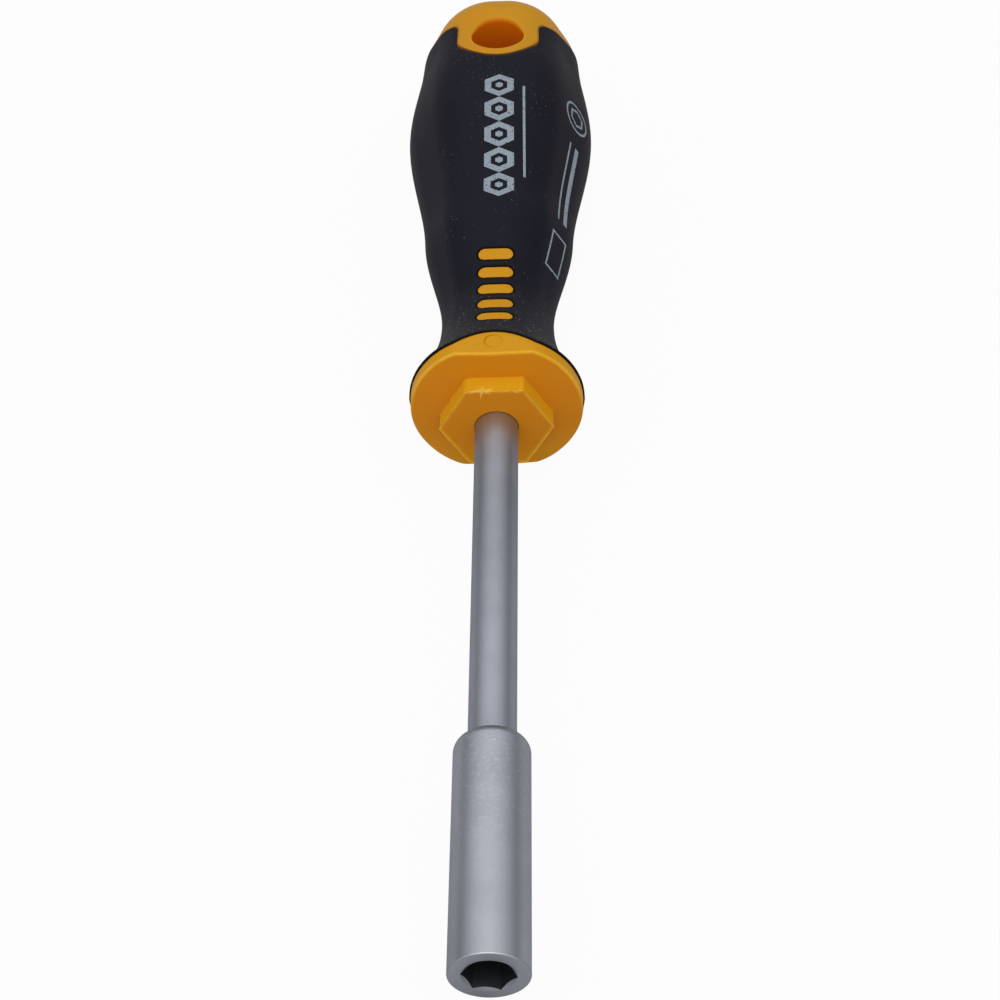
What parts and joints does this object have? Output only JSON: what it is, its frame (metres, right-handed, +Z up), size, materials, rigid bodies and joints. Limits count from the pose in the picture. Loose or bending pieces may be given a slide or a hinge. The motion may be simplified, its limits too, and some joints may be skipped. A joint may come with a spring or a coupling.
{
  "type": "bit holder screwdriver",
  "caption": "Hand screwdriver that takes hexagonal insert bits: steel socket sleeve on a round blade, hard plastic core with a soft grip and a hang hole.",
  "frame": {"origin": "centre of the bit socket's mouth, on the blade's axis", "axes": "+Y along the blade from the socket to the handle, +Z up with the inlaid side of the handle on top, +X to the right seen from the socket"},
  "size_m": [0.0336, 0.2096, 0.0318],
  "materials": {
    "satin_steel": "satin chrome",
    "spring_steel": "plain",
    "magnet": "plain",
    "satin_shaft": "satin chrome",
    "yellow_plastic": "semi-gloss",
    "black_rubber": "matte"
  },
  "bodies": {
    "screwdriver": {"bit_sleeve": "satin_steel", "magnet": "magnet", "blade_shaft": "satin_shaft", "handle_core": "yellow_plastic", "soft_grip": "black_rubber"},
    "retaining_ring": {"retaining_ring": "spring_steel"}
  },
  "joints": [
    {"name": "ring_turn", "type": "hinge", "parent": "screwdriver", "child": "retaining_ring", "pos_m": [0, 0.006, 0], "axis": [0, 1, 0], "continuous": true}
  ]
}
